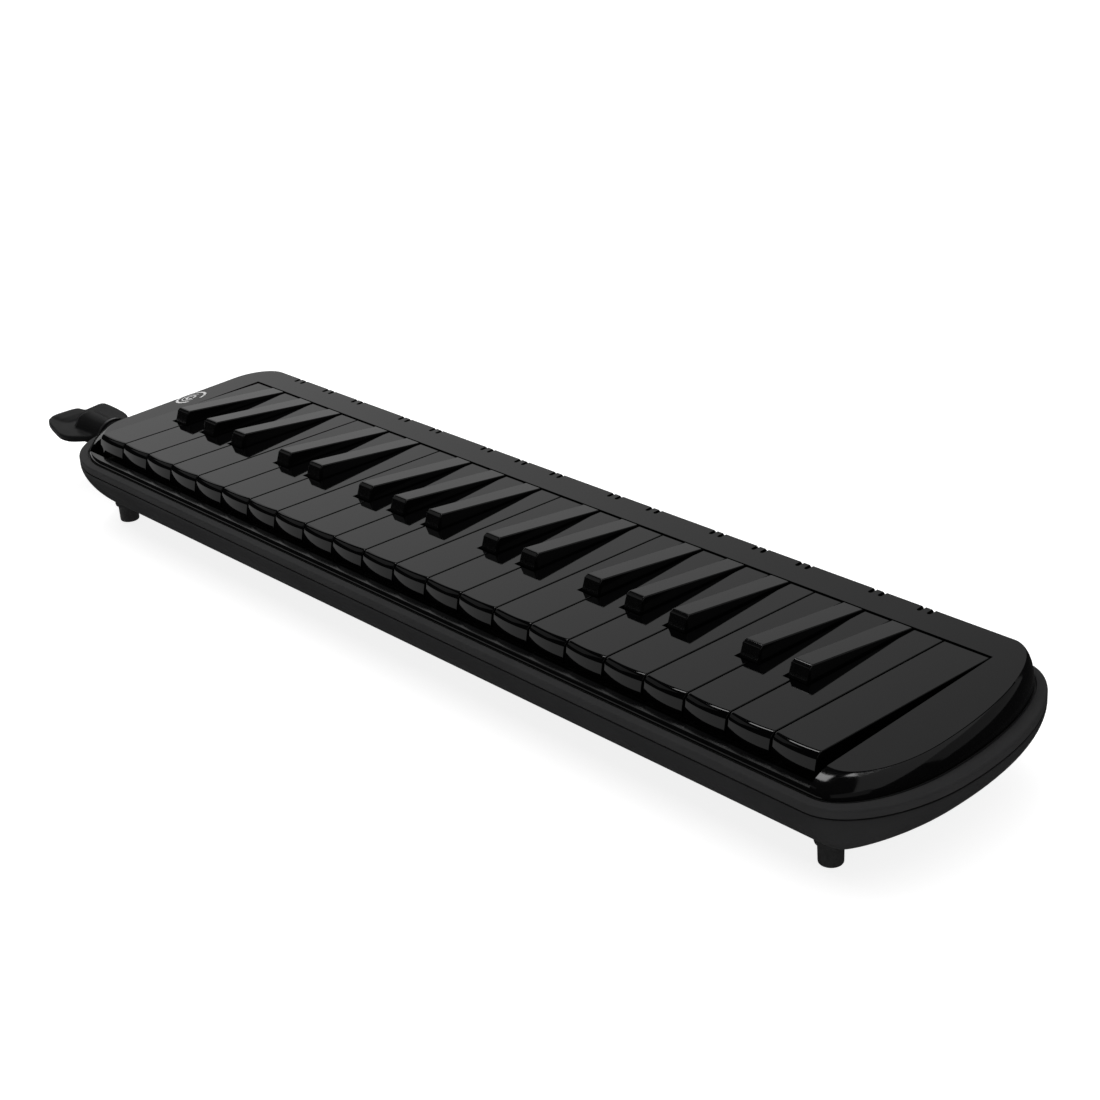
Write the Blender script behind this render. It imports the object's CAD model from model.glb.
import math

import bmesh
import bpy
from mathutils import Matrix, Vector


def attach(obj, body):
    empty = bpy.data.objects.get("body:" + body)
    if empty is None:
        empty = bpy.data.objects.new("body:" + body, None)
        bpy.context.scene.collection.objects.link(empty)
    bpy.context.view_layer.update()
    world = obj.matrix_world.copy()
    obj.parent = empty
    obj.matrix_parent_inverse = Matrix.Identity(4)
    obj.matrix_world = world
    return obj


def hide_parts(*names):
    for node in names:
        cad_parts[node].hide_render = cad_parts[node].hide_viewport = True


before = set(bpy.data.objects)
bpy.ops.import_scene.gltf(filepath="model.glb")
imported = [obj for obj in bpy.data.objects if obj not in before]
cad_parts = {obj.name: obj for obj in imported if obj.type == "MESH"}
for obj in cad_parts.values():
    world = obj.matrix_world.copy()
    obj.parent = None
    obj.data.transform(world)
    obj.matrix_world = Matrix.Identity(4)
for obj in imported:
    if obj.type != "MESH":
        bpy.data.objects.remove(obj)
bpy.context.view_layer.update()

# All shapes are written in keyboard millimetres, as in the CAD source: X along the keys, Y from the
# key fronts to the back, Z = 0 on the resting white keys. SHIFT moves them to the row frame.
MM = 0.001
SHIFT = Vector((-174.25, -42.125, 40.5))

# Keys: spacing, gap, length, skirt depth, lean of the front, top thickness and bow of the front edge
PITCH = 17.5
GAP = 0.55
KEY_LEN = 77.5
SKIRT = 6.5
LEAN = 1.4
PLATE = 2.0
SKIRT_END = 61.9
BOW = 0.7
BLACK_H = 5.2
BLACK_TOP_W = 7.5
BLACK_W = 8.1
BLACK_FRONT = 28.7
BLACK_GAP = 0.8
HAS_BLACK = (True, True, True, False, True, True, False)
BLACK_SHIFT = (-2.4, 0.0, 2.4, 0.0, -1.2, 1.2, 0.0)
LETTERS = "fgabcde"
# Names of the keys from the lowest one up
FIRST_OCTAVE = 3
WHITES = 22
KEYS_W = WHITES * PITCH

# Case: left, right, front and back of the rim, and the reach of its corners along X and Y
RIM = (-22.5, KEYS_W + 29.0, -12.25, 96.5)
RIM_CORNERS = ((34.0, 30.0), (24.0, 42.0), (30.0, 66.0), (22.0, 22.0))
# Insets of the groove and the deck from the rim, and levels from the seam up
GROOVE_IN = 5.5
DECK_IN = 9.5
WALL_ARC = 68
SEAM_Z = -11.4
RIM_Z = SEAM_Z + 3.1
GROOVE_Z = RIM_Z - 0.7
RIM_EDGE = 0.9
LIP_Z = -6.4
# Shares of an inset at the right end and the back, and the inset at the front as a table of points
UPPER = (1.0, 0.6, ((0.0, 0.0), (4.5, 3.0), (5.5, 3.8), (9.5, 12.5)))
LOWER = (1.2, 0.35, ((0.0, 0.0), (1.0, 1.0)))
WALL = 2.0
SLOT_R = 0.8
SLOT_APART = 4.0
SLOT_Y = KEY_LEN + 10.8
SLOT_END = 95.4
DECK_BACK_Z = 0.4
DECK_FRONT_Z = -2.8
# Opening for the keys, wider at the front, and the tub with its feet and screws
OPEN_GAP = 0.6
OPEN_FLARE = 2.4
OPEN_Y = KEY_LEN + 0.6
BASE_Z = -33.5
BOWL_W = 25.0
BOWL_TOP = SEAM_Z - 1.0
BOWL_POWER = 1.25
FOOT_X = (-1.0, KEYS_W - 2.7)
FOOT_Y = (8.0, 78.0)
FOOT_H = 7.0
FOOT_R = 4.0
FOOT_SEAT_H = 4.5
BADGE_PLACE = (-9.3, 49.5)
BADGE_LONG = 1.8
# Inner and outer radius, first angle and sweep of each band of the badge
BADGE_ARCS = (((3.35, 4.05), 20.0, 140.0), ((3.35, 4.05), 190.0, 140.0),
              ((2.2, 2.5), 100.0, 250.0), ((0.9, 1.5), 0.0, 350.0))
SCREWS = ((-8.0, 66.0), (-6.6, 6.0), (KEYS_W + 13.0, 22.0), (KEYS_W + 9.0, 68.0))
SCREW_SEAT = BASE_Z + 9.5
SCREW_HOLE_R = 2.9
POST_R = 4.2

# Levers: axle, hub, arm and pad
AXLE_Y = 70.0
AXLE_Z = -7.5
AXLE_BORE = 1.3
HUB_R = 3.2
ARM_W = 6.0
ARM_END = 88.0
ARM_FRONT = 56.0
ARM_LOW = -9.2
PAD_Y = (79.5, 87.0)
PAD_Z = (-12.45, -11.0)
PAD_W = 6.4

# Axis and reach of the mouthpiece, radii of its socket and plug, end of the bore in the case
MOUTH_Y = 19.0
MOUTH_Z = -13.0
MOUTH_REACH = 43.0
SOCKET_R = 7.4
BORE_END = -9.0
PLUG_R = 5.5


# ---------------------------------------------------------------- mesh helpers

def finish_mesh(name, bm, materials, body, sharp=32.0, weld=0.0005):
    """Object from a bmesh in keyboard millimetres, smooth shaded, riding on a body."""
    bmesh.ops.remove_doubles(bm, verts=bm.verts, dist=weld)
    bmesh.ops.dissolve_degenerate(bm, edges=bm.edges, dist=weld)
    bmesh.ops.recalc_face_normals(bm, faces=bm.faces)
    for v in bm.verts:
        v.co = (v.co + SHIFT) * MM
    mesh = bpy.data.meshes.new(name)
    bm.to_mesh(mesh)
    bm.free()
    mesh.shade_smooth()
    mesh.set_sharp_from_angle(angle=math.radians(sharp))
    obj = bpy.data.objects.new(name, mesh)
    bpy.context.scene.collection.objects.link(obj)
    for material in materials:
        mesh.materials.append(material)
    if body:
        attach(obj, body)
    return obj


def weighted(obj):
    modifier = obj.modifiers.new("flat_faces", "WEIGHTED_NORMAL")
    modifier.keep_sharp = True
    modifier.weight = 80
    return obj


def loft(bm, rings, closed=True, index=0):
    """Skin over rings of points, each as many, with a cap on both ends."""
    rows = [[bm.verts.new(p) for p in ring] for ring in rings]
    count = len(rows[0])
    faces = []
    for low, high in zip(rows, rows[1:]):
        for i in range(count):
            j = (i + 1) % count
            faces.append(bm.faces.new((low[i], low[j], high[j], high[i])))
    if closed:
        faces.append(bm.faces.new(list(reversed(rows[0]))))
        faces.append(bm.faces.new(rows[-1]))
    for face in faces:
        face.material_index = index
    return faces


def box(bm, low, high, bevel=0.0, index=0):
    """Box between two corners, its edges bevelled."""
    size = Vector(high) - Vector(low)
    middle = (Vector(high) + Vector(low)) / 2
    place = Matrix.Translation(middle) @ Matrix.Diagonal((*size, 1.0))
    made = bmesh.ops.create_cube(bm, size=1.0, matrix=place)
    verts = made["verts"]
    edges = list({e for v in verts for e in v.link_edges})
    faces = list({f for v in verts for f in v.link_faces})
    for face in faces:
        face.material_index = index
    if bevel:
        bmesh.ops.bevel(bm, geom=edges, offset=bevel, segments=2, profile=0.5, affect="EDGES")


def tube_x(bm, x0, x1, y, z, outer, inner=0.0, steps=40, chamfer=0.2, index=0):
    """Round bar or tube along X with chamfered ends."""
    def ring(x, r):
        return [(x, y + r * math.cos(2 * math.pi * i / steps), z + r * math.sin(2 * math.pi * i / steps))
                for i in range(steps)]
    rings = [ring(x0, outer - chamfer), ring(x0 + chamfer, outer),
             ring(x1 - chamfer, outer), ring(x1, outer - chamfer)]
    if not inner:
        return loft(bm, rings, True, index)
    rings += [ring(x1, inner), ring(x0, inner), ring(x0, outer - chamfer)]
    return loft(bm, rings, False, index)


def turned(bm, x, y, profile, steps=40):
    """Round solid on a vertical axis, from its profile of (radius, height) upwards."""
    rings = []
    for r, z in profile:
        turn = [2 * math.pi * i / steps for i in range(steps)]
        rings.append([(x + r * math.cos(a), y + r * math.sin(a), z) for a in turn])
    return loft(bm, rings)


def cut(obj, cutters, operation="DIFFERENCE"):
    """Applies exact booleans, and removes the cutters."""
    for cutter in cutters:
        modifier = obj.modifiers.new("cut", "BOOLEAN")
        modifier.operation = operation
        modifier.solver = "EXACT"
        modifier.object = cutter
    graph = bpy.context.evaluated_depsgraph_get()
    mesh = bpy.data.meshes.new_from_object(obj.evaluated_get(graph))
    obj.modifiers.clear()
    old = obj.data
    obj.data = mesh
    bpy.data.meshes.remove(old)
    for cutter in cutters:
        bpy.data.objects.remove(cutter)
    return obj


def solid(bm, name="tool", weld=0.0005):
    """Bare object from a bmesh, for booleans, still in keyboard millimetres."""
    bmesh.ops.remove_doubles(bm, verts=bm.verts, dist=weld)
    bmesh.ops.recalc_face_normals(bm, faces=bm.faces)
    mesh = bpy.data.meshes.new(name)
    bm.to_mesh(mesh)
    bm.free()
    obj = bpy.data.objects.new(name, mesh)
    bpy.context.scene.collection.objects.link(obj)
    return obj


def from_solid(obj):
    """bmesh of a bare object, which is removed."""
    bm = bmesh.new()
    bm.from_mesh(obj.data)
    mesh = obj.data
    bpy.data.objects.remove(obj)
    bpy.data.meshes.remove(mesh)
    return bm


# ---------------------------------------------------------------- materials

class Nodes:
    """Short way to build a node material."""

    def __init__(self, name):
        self.material = bpy.data.materials.new(name)
        self.material.use_nodes = True
        self.tree = self.material.node_tree
        self.shader = self.tree.nodes["Principled BSDF"]
        self.coords = self.tree.nodes.new("ShaderNodeTexCoord").outputs["Object"]

    def node(self, kind, **inputs):
        made = self.tree.nodes.new(kind)
        for key, value in inputs.items():
            if hasattr(value, "is_linked"):
                self.tree.links.new(value, made.inputs[key])
            else:
                made.inputs[key].default_value = value
        return made

    def link(self, output, socket):
        self.tree.links.new(output, self.shader.inputs[socket])

    def noise(self, scale, detail=3.0, rough=0.5, stretch=None):
        vector = self.coords
        if stretch:
            mapping = self.node("ShaderNodeMapping", Vector=vector)
            mapping.inputs["Scale"].default_value = stretch
            vector = mapping.outputs["Vector"]
        made = self.node("ShaderNodeTexNoise", Vector=vector, Scale=scale, Detail=detail, Roughness=rough)
        return made.outputs["Fac"]

    def ramp(self, value, low, high, start=0.35, end=0.65):
        made = self.node("ShaderNodeMapRange", Value=value)
        made.inputs["From Min"].default_value = start
        made.inputs["From Max"].default_value = end
        made.inputs["To Min"].default_value = low
        made.inputs["To Max"].default_value = high
        return made.outputs["Result"]

    def mix(self, factor, a, b):
        made = self.tree.nodes.new("ShaderNodeMix")
        made.data_type = "RGBA"
        self.tree.links.new(factor, made.inputs["Factor"])
        for socket, value in ((made.inputs[6], a), (made.inputs[7], b)):
            if hasattr(value, "is_linked"):
                self.tree.links.new(value, socket)
            else:
                socket.default_value = (*value, 1.0)
        return made.outputs[2]

    def bump(self, height, strength, distance):
        made = self.node("ShaderNodeBump", Height=height, Strength=strength, Distance=distance)
        self.link(made.outputs["Normal"], "Normal")


def plastic(name, color, rough, spread=0.03, specular=0.5, grain=0.06, grain_scale=2600.0, light=1.35):
    """Moulded plastic: slight mottling, uneven polish, fine mould texture."""
    n = Nodes(name)
    cloud = n.noise(60.0, 4.0)
    n.link(n.mix(n.ramp(cloud, 0.0, 1.0), color, tuple(c * light for c in color)), "Base Color")
    smear = n.noise(180.0, 6.0, 0.65, (0.35, 1.0, 1.0))
    n.link(n.ramp(smear, max(rough - spread, 0.01), rough + spread, 0.3, 0.7), "Roughness")
    n.shader.inputs["Specular IOR Level"].default_value = specular
    n.bump(n.noise(grain_scale, 2.0), grain, 0.00005)
    return n.material


def metal(name, color, rough, stretch=(1.0, 1.0, 1.0), scale=900.0, dark=0.75):
    """Worked metal: fine drawn lines and slight tarnish."""
    n = Nodes(name)
    n.shader.inputs["Metallic"].default_value = 1.0
    lines = n.noise(scale, 3.0, 0.6, stretch)
    stain = n.noise(90.0, 5.0, 0.6)
    n.link(n.mix(n.ramp(stain, 0.0, 1.0), tuple(c * dark for c in color), color), "Base Color")
    n.link(n.ramp(lines, rough * 0.7, rough * 1.4), "Roughness")
    n.bump(lines, 0.15, 0.00004)
    return n.material


def rubber(name, color, rough=0.7):
    n = Nodes(name)
    speck = n.noise(1500.0, 4.0, 0.7)
    paler = tuple(min(c * 1.8 + 0.002, 1.0) for c in color)
    n.link(n.mix(n.ramp(speck, 0.0, 1.0), color, paler), "Base Color")
    n.link(n.ramp(n.noise(220.0), rough - 0.08, rough + 0.08), "Roughness")
    n.shader.inputs["Specular IOR Level"].default_value = 0.3
    n.bump(speck, 0.2, 0.0001)
    return n.material


def felt(name, color):
    """Pressed felt: soft tangle of fibres with a sheen."""
    n = Nodes(name)
    fibre = n.noise(2200.0, 8.0, 0.8, (1.0, 3.0, 1.0))
    n.link(n.mix(n.ramp(fibre, 0.0, 1.0), tuple(c * 0.55 for c in color), color), "Base Color")
    n.shader.inputs["Roughness"].default_value = 0.95
    n.shader.inputs["Sheen Weight"].default_value = 0.1
    n.shader.inputs["Specular IOR Level"].default_value = 0.1
    n.bump(fibre, 0.7, 0.0003)
    return n.material


CASE_BLACK = plastic("case_gloss", (0.0016, 0.0016, 0.0017), 0.10, 0.015, 0.22, 0.03)
RIM_BLACK = plastic("rim_satin", (0.0270, 0.0270, 0.0275), 0.40, 0.012, 0.015, 0.06, light=1.1)
TUB_BLACK = plastic("tub_satin", (0.0205, 0.0205, 0.0209), 0.42, 0.012, 0.03, 0.06, light=1.1)
WHITE_KEY = plastic("key_front_row", (0.0007, 0.0007, 0.0008), 0.05, 0.010, 0.24, 0.015)
BLACK_KEY = plastic("key_back_row", (0.0018, 0.0018, 0.0019), 0.11, 0.015, 0.26, 0.03)
MOUTH_PLASTIC = plastic("mouthpiece_satin", (0.0060, 0.0060, 0.0062), 0.40, 0.03, 0.035, 0.12, light=1.15)
SOCKET_PLASTIC = plastic("socket_satin", (0.006, 0.006, 0.0062), 0.3, 0.04, 0.35, 0.1)
FRAME_PLASTIC = plastic("frame_matt", (0.012, 0.012, 0.0122), 0.55, 0.06, 0.3, 0.25)
CHAMBER_PLASTIC = plastic("chamber_matt", (0.02, 0.02, 0.021), 0.5, 0.06, 0.3, 0.25)
RUBBER_FOOT = rubber("foot_rubber_looks", (0.012, 0.012, 0.012), 0.5)
GASKET = rubber("gasket_looks", (0.012, 0.012, 0.012), 0.8)
SEAL = rubber("seal_looks", (0.006, 0.006, 0.006), 0.5)
PAD_RUBBER = rubber("valve_looks", (0.30, 0.05, 0.04), 0.7)
PAD_SKIN = felt("pad_looks", (0.62, 0.55, 0.42))
BED_FELT = felt("bed_felt_looks", (0.003, 0.003, 0.0032))
STEEL = metal("steel_looks", (0.62, 0.62, 0.63), 0.25, (0.05, 1.0, 1.0))
ZINC = metal("zinc_looks", (0.66, 0.66, 0.64), 0.35)
BLACK_STEEL = metal("black_steel_looks", (0.10, 0.10, 0.10), 0.4)
BRASS = metal("brass_looks", (0.78, 0.56, 0.24), 0.3, (0.05, 1.0, 1.0))
REED = metal("reed_looks", (0.86, 0.62, 0.34), 0.2, (1.0, 0.05, 1.0))
SPRING = metal("spring_looks", (0.70, 0.48, 0.24), 0.3, (1.0, 0.1, 1.0))
BADGE = plastic("badge_print", (0.55, 0.55, 0.55), 0.5, 0.05, 0.3, 0.1, light=1.2)


# ---------------------------------------------------------------- case

def deck_z(y):
    """Height of the sloping deck."""
    front = RIM[2] + DECK_IN
    return DECK_FRONT_Z + (DECK_BACK_Z - DECK_FRONT_Z) * (y - front) / (OPEN_Y - front)


def table_value(x, table):
    """Straight lines through a table of points, carried on past its last one."""
    for (x0, y0), (x1, y1) in zip(table, table[1:]):
        if x <= x1:
            break
    return y0 + (y1 - y0) * (x - x0) / (x1 - x0)


def outline(inset, share, grow=0.0, steps=26):
    """Plan of the case moved in by inset, as its share says for each side, then by grow."""
    left, front = inset + grow, table_value(inset, share[2]) + grow
    right, back = inset * share[0] + grow, inset * share[1] + grow
    points = []
    for k, (x_in, y_in) in enumerate(((left, front), (right, front), (right, back), (left, back))):
        rx = max(RIM_CORNERS[k][0] - x_in, 3.0)
        ry = max(RIM_CORNERS[k][1] - y_in, 3.0)
        cx = RIM[0] + x_in + rx if k in (0, 3) else RIM[1] - x_in - rx
        cy = RIM[2] + y_in + ry if k in (0, 1) else RIM[3] - y_in - ry
        for i in range(steps + 1):
            a = math.radians(180 + 90 * k + 90 * i / steps)
            points.append((cx + rx * math.cos(a), cy + ry * math.sin(a)))
    return points


def level(inset, z, share, grow=0.0):
    """Outline at one height."""
    return [(x, y, z) for x, y in outline(inset, share, grow)]


def deck_ring(inset, s, drop=0.0):
    """Outline at a share s of the way from the rim up to the deck."""
    return [(x, y, RIM_Z + (deck_z(y) - drop - RIM_Z) * s) for x, y in outline(inset, UPPER)]


def opening_side(y):
    return OPEN_GAP + OPEN_FLARE * (OPEN_Y - y) / OPEN_Y


def opening_points(grow, y0, y1):
    a, b = opening_side(y0) + grow, opening_side(y1) + grow
    return [(-a, y0), (KEYS_W + a, y0), (KEYS_W + b, y1), (-b, y1)]


def prism(points, z0, z1):
    bm = bmesh.new()
    loft(bm, [[(x, y, z0) for x, y in points], [(x, y, z1) for x, y in points]])
    return solid(bm)


def black_x(w):
    """Centre of the black key after white key w."""
    return (w + 1) * PITCH + BLACK_SHIFT[w % 7]


def slot_cutters():
    """Pairs of round-ended sound slots that run out over the back edge."""
    bm = bmesh.new()
    for w in range(WHITES - 1):
        if not HAS_BLACK[w % 7]:
            continue
        for side in (-1, 1):
            x = black_x(w) + SLOT_APART / 2 * side
            turn = [math.radians(a) for a in range(180, 361, 20)]
            plan = [(x + SLOT_R * math.cos(a), SLOT_Y + SLOT_R * math.sin(a)) for a in turn]
            plan += [(x + SLOT_R, SLOT_END), (x - SLOT_R, SLOT_END)]
            loft(bm, [[(px, py, z) for px, py in plan] for z in (-4.0, 4.0)])
    return solid(bm)


def socket_bore():
    bm = bmesh.new()
    tube_x(bm, RIM[0] - 3, BORE_END, MOUTH_Y, MOUTH_Z, SOCKET_R + 0.05, chamfer=0.01)
    return solid(bm)


def make_upper_case():
    """Deck with the key opening, its wall, and the rim with a groove round it."""
    bm = bmesh.new()
    rings = [level(0.25, SEAM_Z, UPPER), level(0.05, SEAM_Z + 0.15, UPPER), level(0.0, SEAM_Z + 0.45, UPPER)]
    for a in range(0, 91, 15):
        t = math.radians(a)
        rings.append(level(RIM_EDGE * (1 - math.cos(t)), RIM_Z - 0.25 - RIM_EDGE * (1 - math.sin(t)), UPPER))
    rings += [level(GROOVE_IN - 1.0, RIM_Z, UPPER), level(GROOVE_IN - 0.85, RIM_Z - 0.05, UPPER),
              level(GROOVE_IN - 0.7, GROOVE_Z + 0.1, UPPER), level(GROOVE_IN - 0.55, GROOVE_Z, UPPER),
              level(GROOVE_IN, GROOVE_Z, UPPER)]
    whole = math.radians(WALL_ARC)
    for i in range(17):
        a = whole * i / 16
        share = (1 - math.cos(a)) / (1 - math.cos(whole))
        rings.append(deck_ring(GROOVE_IN + (DECK_IN - GROOVE_IN) * share, math.sin(a) / math.sin(whole)))
    loft(bm, rings)
    case = solid(bm, "upper")

    inner = GROOVE_IN + WALL
    bm = bmesh.new()
    rings = [level(inner, SEAM_Z - 1, UPPER)]
    for a in range(0, 91, 15):
        t = math.radians(a)
        rings.append(deck_ring(DECK_IN + 1 - (DECK_IN + 1 - inner) * math.cos(t), math.sin(t), WALL))
    loft(bm, rings)
    cavity = solid(bm)
    walls = prism(opening_points(WALL, RIM[2], OPEN_Y + 1.4), SEAM_Z, 3.0)
    under = prism([(-20, 64), (KEYS_W + 20, 64), (KEYS_W + 20, 84), (-20, 84)], SEAM_Z - 2, -3.6)
    cut(walls, [under])
    cut(cavity, [walls])
    opening = prism(opening_points(0, RIM[2] + GROOVE_IN + WALL, OPEN_Y), -20, 10)
    lip = prism(opening_points(0, RIM[2] - 1, OPEN_Y), LIP_Z, 10)
    for tool in (cavity, opening, lip, slot_cutters(), socket_bore()):
        cut(case, [tool])
    return case


def round_edges(obj, width, segments, angle):
    """Rounds the hard edges of a bare solid."""
    modifier = obj.modifiers.new("edges", "BEVEL")
    modifier.width = width
    modifier.segments = segments
    modifier.limit_method = "ANGLE"
    modifier.angle_limit = math.radians(angle)
    modifier.miter_outer = "MITER_ARC"
    modifier.use_clamp_overlap = True
    return cut(obj, [])


def bowl_rings(grow, top, bottom, steps=22):
    """Levels of the tub from its flat bottom up, all moved in by grow."""
    rings = []
    for i in range(steps + 1):
        t = math.radians(90.0 - 90.0 * i / steps)
        inset = (BOWL_W - grow) * (1 - math.cos(t) ** BOWL_POWER)
        rings.append(level(inset, top - (top - bottom) * math.sin(t) ** BOWL_POWER, LOWER, grow))
    return rings


def make_lower_case():
    """Tub with its screw posts and foot seats."""
    bm = bmesh.new()
    rings = bowl_rings(0.0, BOWL_TOP, BASE_Z)
    rings += [level(0.0, SEAM_Z - 0.75, LOWER), level(0.1, SEAM_Z - 0.5, LOWER),
              level(0.55, SEAM_Z - 0.4, LOWER), level(0.6, SEAM_Z, LOWER)]
    loft(bm, rings)
    tub = solid(bm, "lower")
    bm = bmesh.new()
    loft(bm, bowl_rings(WALL, BOWL_TOP, BASE_Z + WALL) + [level(0.0, SEAM_Z + 1, LOWER, WALL)])
    cut(tub, [solid(bm)])
    cut(tub, [socket_bore()])
    bm = bmesh.new()
    r = SCREW_HOLE_R
    for x, y in SCREWS:
        turned(bm, x, y, [(0.02, BASE_Z - 1), (r, BASE_Z - 1), (r, SCREW_SEAT), (0.02, SCREW_SEAT)])
    holes = solid(bm)
    bm = bmesh.new()
    r = POST_R
    for x, y in SCREWS:
        turned(bm, x, y, [(0.02, BASE_Z + 1), (r, BASE_Z + 1), (r, SEAM_Z - 1), (0.02, SEAM_Z - 1)])
    posts = solid(bm)
    bm = bmesh.new()
    loft(bm, bowl_rings(0.3, BOWL_TOP, BASE_Z + 0.3))
    cut(posts, [solid(bm)], "INTERSECT")
    cut(tub, [posts], "UNION")
    cut(tub, [holes])
    bm = bmesh.new()
    r = FOOT_R + 1.0
    seat = [(0.02, 0.0), (r - 0.6, 0.0), (r - 0.15, 0.15), (r, 0.6), (r, FOOT_SEAT_H), (0.02, FOOT_SEAT_H)]
    for x in FOOT_X:
        for y in FOOT_Y:
            turned(bm, x, y, [(radius, BASE_Z + z) for radius, z in seat])
    cut(tub, [solid(bm)], "UNION")
    return tub


upper = make_upper_case()
upper = round_edges(upper, 0.3, 3, 38.0)
upper_faces = from_solid(upper)
for face in upper_faces.faces:
    face.material_index = int(face.calc_center_median().z < RIM_Z + 0.01)
upper = finish_mesh("upper_case_shell", upper_faces, [CASE_BLACK, RIM_BLACK], "case", 38.0)
weighted(upper)
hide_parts("upper_case")

lower = make_lower_case()
lower = finish_mesh("lower_case_shell", from_solid(lower), [TUB_BLACK], "case", 32.0)
weighted(lower)
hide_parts("lower_case")


# ---------------------------------------------------------------- keys

def white_sides(w):
    return w * PITCH + GAP / 2, (w + 1) * PITCH - GAP / 2


def tail_sides(w):
    low, high = white_sides(w)
    if w > 0 and HAS_BLACK[(w - 1) % 7]:
        low = black_x(w - 1) + BLACK_W / 2 + BLACK_GAP
    if w < WHITES - 1 and HAS_BLACK[w % 7]:
        high = black_x(w) - BLACK_W / 2 - BLACK_GAP
    return low, high


def white_plan(w, side_in, front_in, back_in):
    """Outline of a white key moved in by different amounts, from the left front corner round."""
    x0, x1 = (v + s * side_in for v, s in zip(white_sides(w), (1, -1)))
    t0, t1 = (v + s * side_in for v, s in zip(tail_sides(w), (1, -1)))
    half = (PITCH - GAP) / 2
    radius = (half * half + BOW * BOW) / (2 * BOW)
    middle = (x0 + x1) / 2
    corner = 0.45
    left, right = x0 + corner, x1 - corner

    def front(x):
        return radius - math.sqrt(radius ** 2 - (x - middle) ** 2) - BOW + front_in

    points = []
    for i in range(5):
        a = math.radians(180 + 22.5 * i)
        points.append((left + corner * math.cos(a), front(left) + corner * (1 + math.sin(a))))
    for i in range(1, 16):
        x = left + (right - left) * i / 16
        points.append((x, front(x)))
    for i in range(5):
        a = math.radians(270 + 22.5 * i)
        points.append((right + corner * math.cos(a), front(right) + corner * (1 + math.sin(a))))
    notch = BLACK_FRONT - BLACK_GAP - back_in
    back = KEY_LEN - back_in
    return points + [(x1, notch), (t1, notch), (t1, back), (t0, back), (t0, notch), (x0, notch)]


def rounding(r, depth):
    """How far a quarter-round edge of radius r is in, at a depth below the top."""
    if depth >= r:
        return 0.0
    return r - math.sqrt(max(r * r - (r - depth) ** 2, 0.0))


def lever(bm, x):
    """Hub on the axle, arm to the pad, and the pad itself in the second material."""
    half = ARM_W / 2
    box(bm, (x - half, ARM_FRONT, ARM_LOW), (x + half, AXLE_Y - 1.8, -PLATE + 0.02), 0.3)
    box(bm, (x - half, AXLE_Y - 1.9, -6.3), (x + half, KEY_LEN - 0.5, -PLATE + 0.02), 0.05)
    tube_x(bm, x - half, x + half, AXLE_Y, AXLE_Z, HUB_R, AXLE_BORE)
    box(bm, (x - half, AXLE_Y + 2.0, ARM_LOW), (x + half, ARM_END, -6.0), 0.3)
    box(bm, (x - half, PAD_Y[0], PAD_Z[1] + 0.04), (x + half, ARM_END, ARM_LOW + 0.1), 0.0)
    box(bm, (x - PAD_W / 2, PAD_Y[0], PAD_Z[0]), (x + PAD_W / 2, PAD_Y[1], PAD_Z[1]), 0.2, index=1)


def white_key(w):
    """Skirted cap with a leaning front, hollow underneath, and the middle of its lever."""
    def lean(depth):
        return -LEAN * depth / SKIRT

    edge_front, edge_side = 2.2, 0.28
    depths = sorted({edge_front * (1 - math.sin(math.radians(a))) for a in range(0, 91, 10)}
                    | {edge_side * (1 - math.sin(math.radians(a))) for a in range(0, 91, 15)}, reverse=True)
    bm = bmesh.new()
    stack = [[(x, y, z) for x, y in white_plan(w, i, i + lean(-z), i)]
             for z, i in ((-SKIRT, 0.15), (-SKIRT + 0.15, 0.0))]
    for depth in depths:
        side = rounding(edge_side, depth)
        plan = white_plan(w, side, rounding(edge_front, depth) * 0.85 + lean(depth), side)
        stack.append([(x, y, -depth) for x, y in plan])
    loft(bm, stack)
    key = solid(bm)
    inset = 1.3
    bm = bmesh.new()
    plan = [(x, min(y, SKIRT_END + 0.1)) for x, y in white_plan(w, inset, inset + 0.6, inset)]
    loft(bm, [[(x, y, -SKIRT - 1) for x, y in plan], [(x, y, -PLATE) for x, y in plan]])
    hollow = solid(bm)
    low, high = white_sides(w)
    back = KEY_LEN + 2
    plan = [(low - 1, SKIRT_END), (high + 1, SKIRT_END), (high + 1, back), (low - 1, back)]
    cut(key, [prism(plan, -SKIRT - 1, -PLATE)])
    cut(key, [hollow])
    return from_solid(key), sum(tail_sides(w)) / 2


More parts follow.
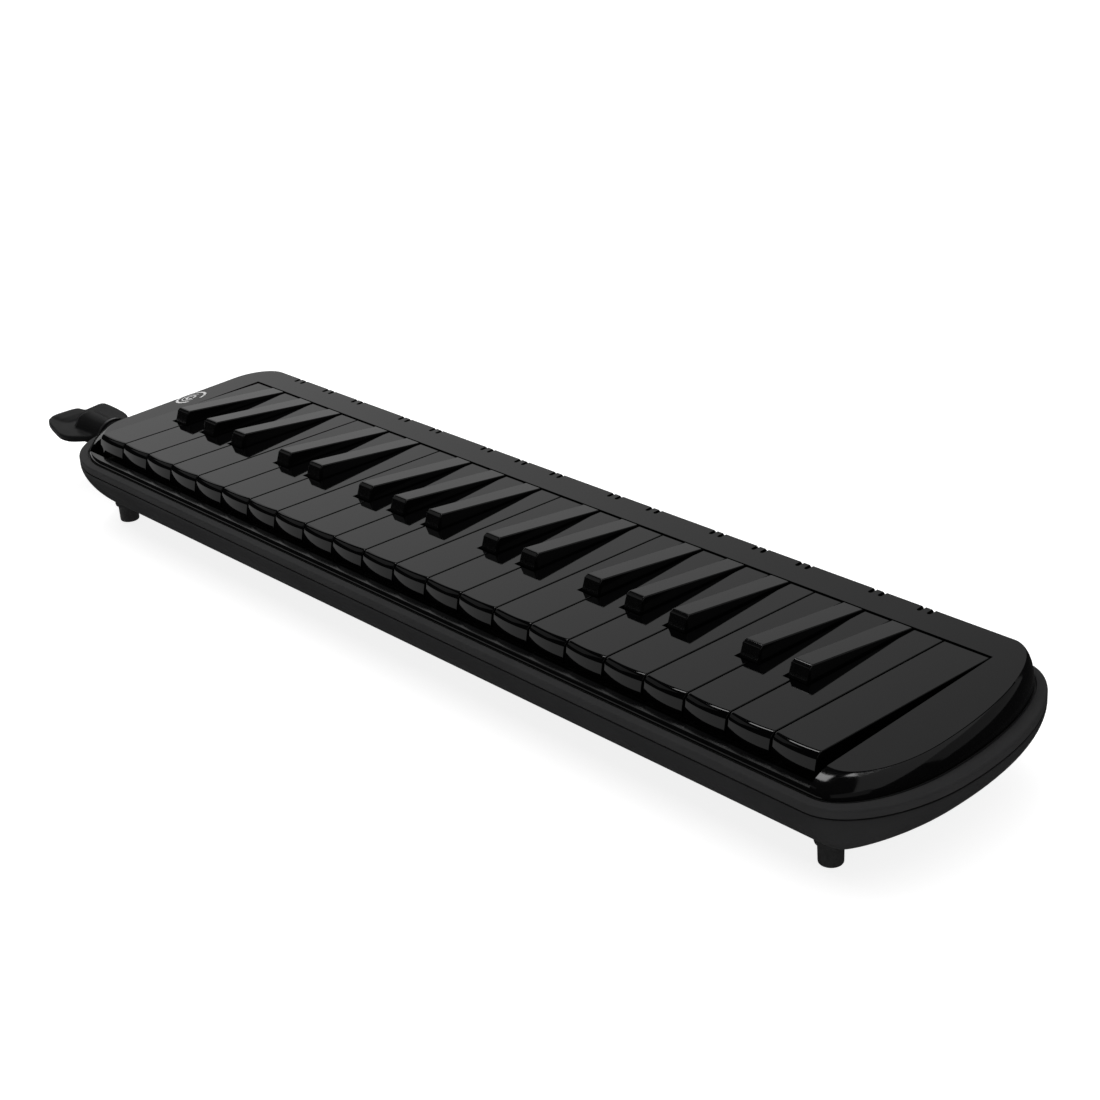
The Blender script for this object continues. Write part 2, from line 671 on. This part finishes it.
def black_key(w):
    """Loft of cross-sections from the front to the back strip."""
    x = black_x(w)
    draft = (BLACK_W - BLACK_TOP_W) / 2 / BLACK_H
    slope = (BLACK_H - 0.4) / (KEY_LEN - BLACK_FRONT - 2.7)
    edge = 0.55
    lean = 1.35
    shoulder = (BLACK_FRONT + lean, BLACK_H - 1.15)
    top = (BLACK_FRONT + lean + 1.35, BLACK_H)
    front = [(BLACK_FRONT, 0.0), (BLACK_FRONT + lean * 0.5, shoulder[1] * 0.5)]
    front += [(shoulder[0] - 0.06, shoulder[1] - 0.25)]
    front += [(shoulder[0] + 0.06, shoulder[1] + 0.16), (shoulder[0] + 0.28, shoulder[1] + 0.38)]
    front += [(top[0] - 0.4, top[1] - 0.26), (top[0] - 0.12, top[1] - 0.08), (top[0] + 0.2, top[1] - 0.02)]
    back = [(y, BLACK_H - slope * (y - top[0])) for y in (top[0] + 1.0, 50.0, 64.0, KEY_LEN - 0.2)]
    bm = bmesh.new()

    def section(y, z_top, inset, r):
        def half(z):
            return BLACK_W / 2 - draft * max(z, 0.0) - inset
        right = [(half(-SKIRT), -SKIRT), (half(0.0), min(0.0, z_top - r))]
        for a in range(0, 91, 18):
            t = math.radians(a)
            z = z_top - r + r * math.sin(t)
            right.append((half(z_top - r) - r + r * math.cos(t), z))
        points = [(x + px, y, pz) for px, pz in right] + [(x - px, y, pz) for px, pz in reversed(right)]
        return points

    rings = [section(BLACK_FRONT, -0.35, 0.35, 0.3)]
    for i, (y, z) in enumerate(front):
        corner = 0.35 - 0.1 * i if i < 4 else 0.0
        rings.append(section(y + 0.02 * i, max(z, 0.05), max(corner, 0.0), min(edge, 0.3 + 0.05 * i)))
    rings += [section(y, z, 0.0, edge if y < 60 else 0.35) for y, z in back]
    loft(bm, rings)
    key = solid(bm)
    t = 1.2
    bm = bmesh.new()
    box(bm, (x - BLACK_W / 2 + t, BLACK_FRONT + t, -SKIRT - 1), (x + BLACK_W / 2 - t, SKIRT_END, -PLATE))
    box(bm, (x - 10, SKIRT_END, -SKIRT - 1), (x + 10, KEY_LEN + 2, -PLATE))
    cut(key, [solid(bm)])
    return from_solid(key), x


def make_keys():
    for w in range(WHITES):
        octave = FIRST_OCTAVE + (w + 3) // 7
        rows = [(True, "", WHITE_KEY, white_key)]
        if HAS_BLACK[w % 7] and w < WHITES - 1:
            rows.append((False, "s", BLACK_KEY, black_key))
        for is_white, sharp, material, build in rows:
            node = "key_%s%s%d" % (LETTERS[w % 7], sharp, octave)
            bm, x = build(w)
            lever(bm, x)
            obj = finish_mesh(node + "_cap", bm, [material, PAD_SKIN], node + "_body",
                              34.0)
            weighted(obj)
            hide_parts(node)


make_keys()


# ---------------------------------------------------------------- mouthpiece, feet, badge

def make_feet():
    """Four plugs with a rounded tread."""
    bm = bmesh.new()
    tread, edge = FOOT_R - 0.1, 0.7
    profile = [(0.02, -FOOT_H)]
    for a in range(0, 91, 15):
        t = math.radians(a)
        profile.append((tread - edge + edge * math.sin(t), edge - FOOT_H - edge * math.cos(t)))
    profile += [(FOOT_R, -0.6), (FOOT_R, 0.5), (0.02, 0.5)]
    for x in FOOT_X:
        for y in FOOT_Y:
            turned(bm, x, y, [(r, BASE_Z + z) for r, z in profile])
    feet = finish_mesh("rubber_feet_turned", bm, [RUBBER_FOOT], "case", 60.0)
    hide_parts("rubber_feet")


make_feet()

# Outline of the mouthpiece's wings: how far out from the rim, and sideways from the axis
WINGS = ((6.0, 6.0), (12.0, 13.5), (19.5, 17.5), (34.5, 18.6), (39.5, 18.2),
         (40.6, 16.5), (38.4, 6.9), (38.8, 7.3), (42.8, 7.4), (42.8, -7.6),
         (37.0, -11.2), (20.5, -15.6), (14.5, -14.8), (11.0, -12.0), (6.0, -6.0))
# Round barrel: how far out, and its radius
BARREL = ((1.7, 6.0), (1.9, 6.2), (18.0, 6.8), (21.0, 7.0), (24.0, 5.6), (26.0, 3.5), (27.2, 0.4))
# Flat lips: how far out, half height and half width
LIPS = ((27.0, 0.6, 6.4), (30.0, 1.7, 7.0), (34.0, 2.2, 7.3),
        (39.0, 2.3, 7.4), (41.6, 2.0, 7.4), (42.8, 1.4, 7.0))
WING_HALF = 1.35
BREATH_SLOT = (4.6, 0.7)


def chaikin(points, rounds):
    """Cuts the corners of a closed outline, over and over, until it is smooth."""
    for _ in range(rounds):
        smooth = []
        for a, b in zip(points, points[1:] + points[:1]):
            smooth += [tuple(p + (q - p) * t for p, q in zip(a, b)) for t in (0.2, 0.8)]
        points = smooth
    return points


def make_mouthpiece():
    """Wings, lips and barrel fused into one smooth body, with its slot and its plug."""
    bm = bmesh.new()
    plan = chaikin(list(WINGS), 3)
    loft(bm, [[(RIM[0] - out, MOUTH_Y + side, MOUTH_Z + z) for out, side in plan]
              for z in (-WING_HALF, WING_HALF)])
    turn = [2 * math.pi * i / 48 for i in range(48)]
    loft(bm, [[(RIM[0] - out, MOUTH_Y + r * math.cos(a), MOUTH_Z + r * math.sin(a)) for a in turn]
              for out, r in BARREL])

    def power(v):
        return math.copysign(abs(v) ** 0.5, v)

    rings = []
    for out, high, wide in LIPS:
        rings.append([(RIM[0] - out, MOUTH_Y + wide * power(math.cos(a)), MOUTH_Z + high * power(math.sin(a)))
                      for a in turn])
    loft(bm, rings)
    body = solid(bm)
    fuse = body.modifiers.new("fuse", "REMESH")
    fuse.mode = "VOXEL"
    fuse.voxel_size = 0.5
    soften = body.modifiers.new("soften", "SMOOTH")
    soften.factor = 0.5
    soften.iterations = 9
    cut(body, [])
    bm = bmesh.new()
    half_y, half_z = BREATH_SLOT
    box(bm, (RIM[0] - MOUTH_REACH - 2, MOUTH_Y - half_y, MOUTH_Z - half_z),
        (RIM[0] - 24, MOUTH_Y + half_y, MOUTH_Z + half_z))
    cut(body, [solid(bm)])
    bm = from_solid(body)
    tube_x(bm, RIM[0] - 2.2, -9.5, MOUTH_Y, MOUTH_Z, PLUG_R, 3.6)
    mouthpiece = finish_mesh("mouthpiece_moulded", bm, [MOUTH_PLASTIC], "case", 50.0)
    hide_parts("mouthpiece")


make_mouthpiece()


def arc_band(bm, centre, slope, radii, start, sweep, low, high):
    """Flat curved band on the sloping deck, between two angles."""
    steps = max(int(sweep / 6), 2)
    rings = []
    for i in range(steps + 1):
        a = math.radians(start + sweep * i / steps)
        ring = []
        for r, h in ((radii[0], low), (radii[1], low), (radii[1], high), (radii[0], high)):
            x, y = r * math.cos(a), r * math.sin(a) * BADGE_LONG
            ring.append((centre[0] + x, centre[1] + y, deck_z(centre[1]) + slope * y + h))
        rings.append(ring)
    loft(bm, rings)


def make_badge():
    """Plain broken rings printed on the left deck."""
    bm = bmesh.new()
    slope = (DECK_BACK_Z - DECK_FRONT_Z) / (OPEN_Y - RIM[2] - DECK_IN)
    for radii, start, sweep in BADGE_ARCS:
        arc_band(bm, BADGE_PLACE, slope, radii, start, sweep, 0.03, 0.09)
    badge = finish_mesh("badge_rings", bm, [BADGE], "case", 30.0, 0.0001)
    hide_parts("badge")


make_badge()


# ---------------------------------------------------------------- CAD nodes that stay

KEPT = {
    "key_frame": FRAME_PLASTIC, "air_chamber": CHAMBER_PLASTIC, "chamber_gasket": GASKET,
    "reed_plate_low": BRASS, "reed_plate_high": BRASS, "reeds": REED, "reed_screws": ZINC,
    "key_axle": STEEL, "spring_comb": SPRING, "key_bed_felt": BED_FELT, "frame_screws": ZINC,
    "mouthpiece_socket": SOCKET_PLASTIC, "socket_seal": SEAL,
    "air_duct": FRAME_PLASTIC, "release_button": SOCKET_PLASTIC, "release_pad": PAD_RUBBER,
    "release_spring": STEEL, "case_screws": BLACK_STEEL,
}
for name, material in KEPT.items():
    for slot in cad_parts[name].material_slots:
        slot.material = material


# ---------------------------------------------------------------- camera, floor, light

CAMERA_TARGET = (0.0503, 0.0012, 0.0405)
CAMERA_DISTANCE = 0.72857
CAMERA_LENS = 69.27
# Azimuth, elevation and roll in degrees
CAMERA_TURN = (49.46, 24.24, -3.65)


def make_camera():
    data = bpy.data.cameras.new("camera")
    data.sensor_width = 36.0
    data.lens = CAMERA_LENS
    data.clip_start = 0.01
    cam = bpy.data.objects.new("camera", data)
    bpy.context.scene.collection.objects.link(cam)
    azimuth, elevation, roll = (math.radians(v) for v in CAMERA_TURN)
    level_out = math.cos(elevation)
    back = Vector((math.sin(azimuth) * level_out, -math.cos(azimuth) * level_out, math.sin(elevation)))
    right = Vector((math.cos(azimuth), math.sin(azimuth), 0.0))
    up = back.cross(right)
    r = math.cos(roll) * right + math.sin(roll) * up
    u = -math.sin(roll) * right + math.cos(roll) * up
    rotation = Matrix((r, u, back)).transposed()
    place = Vector(CAMERA_TARGET) + CAMERA_DISTANCE * back
    cam.matrix_world = Matrix.Translation(place) @ rotation.to_4x4()
    bpy.context.scene.camera = cam


def area_light(name, place, aim, width, height, power, mirrored=True):
    data = bpy.data.lights.new(name, "AREA")
    data.shape = "RECTANGLE"
    data.size = width
    data.size_y = height
    data.energy = power
    lamp = bpy.data.objects.new(name, data)
    bpy.context.scene.collection.objects.link(lamp)
    lamp.location = place
    lamp.rotation_euler = (Vector(aim) - Vector(place)).to_track_quat("-Z", "Y").to_euler()
    lamp.visible_camera = False
    lamp.visible_glossy = mirrored
    return lamp


def card(name, place, aim, width, height, left, right, turn):
    """Glowing card, seen only by its light and in reflections, from one brightness to another."""
    bm = bmesh.new()
    bmesh.ops.create_grid(bm, x_segments=1, y_segments=1, size=0.5)
    mesh = bpy.data.meshes.new(name)
    bm.to_mesh(mesh)
    bm.free()
    obj = bpy.data.objects.new(name, mesh)
    bpy.context.scene.collection.objects.link(obj)
    obj.location = place
    facing = (Vector(aim) - Vector(place)).to_track_quat("-Z", "Y").to_matrix()
    obj.rotation_euler = (facing @ Matrix.Rotation(math.radians(turn), 3, "Z")).to_euler()
    obj.scale = (width, height, 1.0)
    obj.visible_camera = False
    n = Nodes(name + "_glow")
    across = n.tree.nodes.new("ShaderNodeSeparateXYZ")
    n.tree.links.new(n.coords, across.inputs[0])
    n.link(n.ramp(across.outputs[0], left, right, -0.5, 0.5), "Emission Strength")
    n.shader.inputs["Emission Color"].default_value = (1.0, 1.0, 1.0, 1.0)
    n.shader.inputs["Base Color"].default_value = (0.0, 0.0, 0.0, 1.0)
    mesh.materials.append(n.material)
    return obj


FLOOR_HALF = 6.0
FLOOR_DROP = 0.0002


def make_floor():
    """Pale floor that glows a little and is left out of reflections."""
    bm = bmesh.new()
    bmesh.ops.create_grid(bm, x_segments=1, y_segments=1, size=FLOOR_HALF)
    mesh = bpy.data.meshes.new("floor")
    bm.to_mesh(mesh)
    bm.free()
    floor = bpy.data.objects.new("floor", mesh)
    floor.location = (0.0, 0.0, -FLOOR_DROP)
    bpy.context.scene.collection.objects.link(floor)
    n = Nodes("floor_paper")
    n.link(n.mix(n.ramp(n.noise(4.0), 0.0, 1.0), (0.44, 0.44, 0.44), (0.46, 0.46, 0.46)), "Base Color")
    n.shader.inputs["Emission Color"].default_value = (1.0, 1.0, 1.0, 1.0)
    n.shader.inputs["Emission Strength"].default_value = 0.85
    n.shader.inputs["Roughness"].default_value = 0.9
    n.shader.inputs["Specular IOR Level"].default_value = 0.0
    mesh.materials.append(n.material)
    floor.visible_glossy = False


def make_world():
    world = bpy.data.worlds.new("studio")
    bpy.context.scene.world = world
    world.use_nodes = True
    background = world.node_tree.nodes["Background"]
    background.inputs["Color"].default_value = (1.0, 1.0, 1.0, 1.0)
    background.inputs["Strength"].default_value = 0.02


KEYBOARD = (0.0, 0.0, 0.04)
# Glowing cards: name, place, aim, width, height, brightness at either end, turn about their axis
CARDS = (
    ("back_card", (-1.45, 1.20, 0.85), (0.05, 0.0, 0.04), 2.6, 1.3, 0.27, 1.02, 0.0),
    ("front_card", (-1.15, -0.70, 1.05), (0.1, 0.0, 0.04), 0.9, 0.7, 0.35, 0.35, 0.0),
    ("low_card", (-0.90, -0.90, -0.23), (0.0, 0.0, -0.2), 3.0, 0.50, 0.85, 0.85, 0.0),
    ("side_card", (1.16, 0.21, 1.1), (1.16, 0.21, 0.0), 2.5, 1.2, 0.7, 0.7, -33.6),
    ("fill_right", (1.35, -1.00, 0.80), KEYBOARD, 1.8, 0.9, 0.3, 0.3, 0.0),
    ("fill_back", (0.95, 1.25, 0.75), KEYBOARD, 1.2, 0.9, 0.3, 0.3, 0.0),
)
# Small softboxes straight above, for the highlights on the right end: name, place, width, height
BOXES = (("box_left", (-0.47, 0.06, 1.1), 0.32, 0.28), ("box_right", (0.0, 0.36, 1.1), 0.30, 0.28))
BOX_POWER = 2.5
OVERHEAD_POWER = 55.0

make_camera()
make_floor()
make_world()
area_light("overhead", (0.1, 0.0, 2.2), (0.1, 0.0, 0.0), 3.0, 3.0, OVERHEAD_POWER, False)
for values in CARDS:
    card(*values)
for name, place, width, height in BOXES:
    area_light(name, place, (place[0], place[1], 0.0), width, height, BOX_POWER)
bpy.context.scene.view_settings.view_transform = "Standard"
